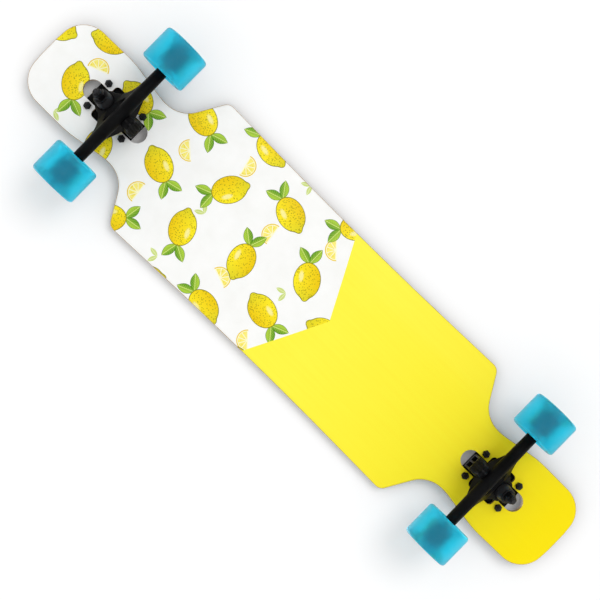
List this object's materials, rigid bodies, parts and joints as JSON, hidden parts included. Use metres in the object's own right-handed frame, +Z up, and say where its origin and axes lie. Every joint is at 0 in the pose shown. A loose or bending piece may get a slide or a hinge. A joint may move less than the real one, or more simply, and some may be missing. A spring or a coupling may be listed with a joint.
{
  "type": "longboard skateboard",
  "caption": "Drop-through longboard: lacquered maple deck with wheel cut-outs, sprung reverse-kingpin trucks that steer when it leans, and translucent wheels on ball bearings.",
  "frame": {"origin": "on the ground, under the middle of the board", "axes": "+X towards the nose, +Y to the left for a rider who faces the nose, +Z up"},
  "size_m": [0.965, 0.257, 0.105],
  "materials": {
    "deck": "yellow and printed white lacquer",
    "grip": "black grit",
    "truck_casting": "black satin coat",
    "pivot_cup": "matte",
    "dark_steel": "black oxide",
    "bushing": "matte",
    "steel": "zinc plated",
    "bearing_steel": "ground",
    "bearing_shield": "satin",
    "wheel_urethane": "translucent satin",
    "wheel_core": "matte"
  },
  "bodies": {
    "deck": {"deck": "deck", "front_baseplate": "truck_casting", "front_boardside_bushing": "bushing", "front_cup_washers": "dark_steel", "front_kingpin": "dark_steel", "front_kingpin_nut": "dark_steel", "front_mounting_bolts": "dark_steel", "front_mounting_nuts": "dark_steel", "front_pivot_cup": "pivot_cup", "front_roadside_bushing": "bushing", "grip_tape": "grip", "rear_baseplate": "truck_casting", "rear_boardside_bushing": "bushing", "rear_cup_washers": "dark_steel", "rear_kingpin": "dark_steel", "rear_kingpin_nut": "dark_steel", "rear_mounting_bolts": "dark_steel", "rear_mounting_nuts": "dark_steel", "rear_pivot_cup": "pivot_cup", "rear_roadside_bushing": "bushing"},
    "front_hanger": {"front_hanger": "truck_casting", "front_axle": "steel", "front_axle_nuts": "steel", "front_speed_washers": "steel", "front_bearing_spacers": "steel", "front_bearing_inner_rings": "bearing_steel"},
    "rear_hanger": {"rear_hanger": "truck_casting", "rear_axle": "steel", "rear_axle_nuts": "steel", "rear_speed_washers": "steel", "rear_bearing_spacers": "steel", "rear_bearing_inner_rings": "bearing_steel"},
    "front_left_wheel": {"front_left_bearing_balls": "bearing_steel", "front_left_bearing_outer_rings": "bearing_steel", "front_left_bearing_shields": "bearing_shield", "front_left_core": "wheel_core", "front_left_tyre": "wheel_urethane"},
    "front_right_wheel": {"front_right_bearing_balls": "bearing_steel", "front_right_bearing_outer_rings": "bearing_steel", "front_right_bearing_shields": "bearing_shield", "front_right_core": "wheel_core", "front_right_tyre": "wheel_urethane"},
    "rear_left_wheel": {"rear_left_bearing_balls": "bearing_steel", "rear_left_bearing_outer_rings": "bearing_steel", "rear_left_bearing_shields": "bearing_shield", "rear_left_core": "wheel_core", "rear_left_tyre": "wheel_urethane"},
    "rear_right_wheel": {"rear_right_bearing_balls": "bearing_steel", "rear_right_bearing_outer_rings": "bearing_steel", "rear_right_bearing_shields": "bearing_shield", "rear_right_core": "wheel_core", "rear_right_tyre": "wheel_urethane"}
  },
  "joints": [
    {"name": "front_steer", "type": "hinge", "parent": "deck", "child": "front_hanger", "pos_m": [0.3715, 0, 0.0705], "axis": [0.7826, 0, 0.6225], "range_deg": [-15, 15], "stiffness_Nm_per_rad": 45, "deforming": ["front_boardside_bushing", "front_roadside_bushing"]},
    {"name": "rear_steer", "type": "hinge", "parent": "deck", "child": "rear_hanger", "pos_m": [-0.3715, 0, 0.0705], "axis": [-0.7826, 0, 0.6225], "range_deg": [-15, 15], "stiffness_Nm_per_rad": 45, "deforming": ["rear_boardside_bushing", "rear_roadside_bushing"]},
    {"name": "front_left_spin", "type": "hinge", "parent": "front_hanger", "child": "front_left_wheel", "pos_m": [0.345, 0.103, 0.035], "axis": [0, 1, 0], "continuous": true},
    {"name": "front_right_spin", "type": "hinge", "parent": "front_hanger", "child": "front_right_wheel", "pos_m": [0.345, -0.103, 0.035], "axis": [0, 1, 0], "continuous": true},
    {"name": "rear_left_spin", "type": "hinge", "parent": "rear_hanger", "child": "rear_left_wheel", "pos_m": [-0.345, 0.103, 0.035], "axis": [0, 1, 0], "continuous": true},
    {"name": "rear_right_spin", "type": "hinge", "parent": "rear_hanger", "child": "rear_right_wheel", "pos_m": [-0.345, -0.103, 0.035], "axis": [0, 1, 0], "continuous": true}
  ]
}
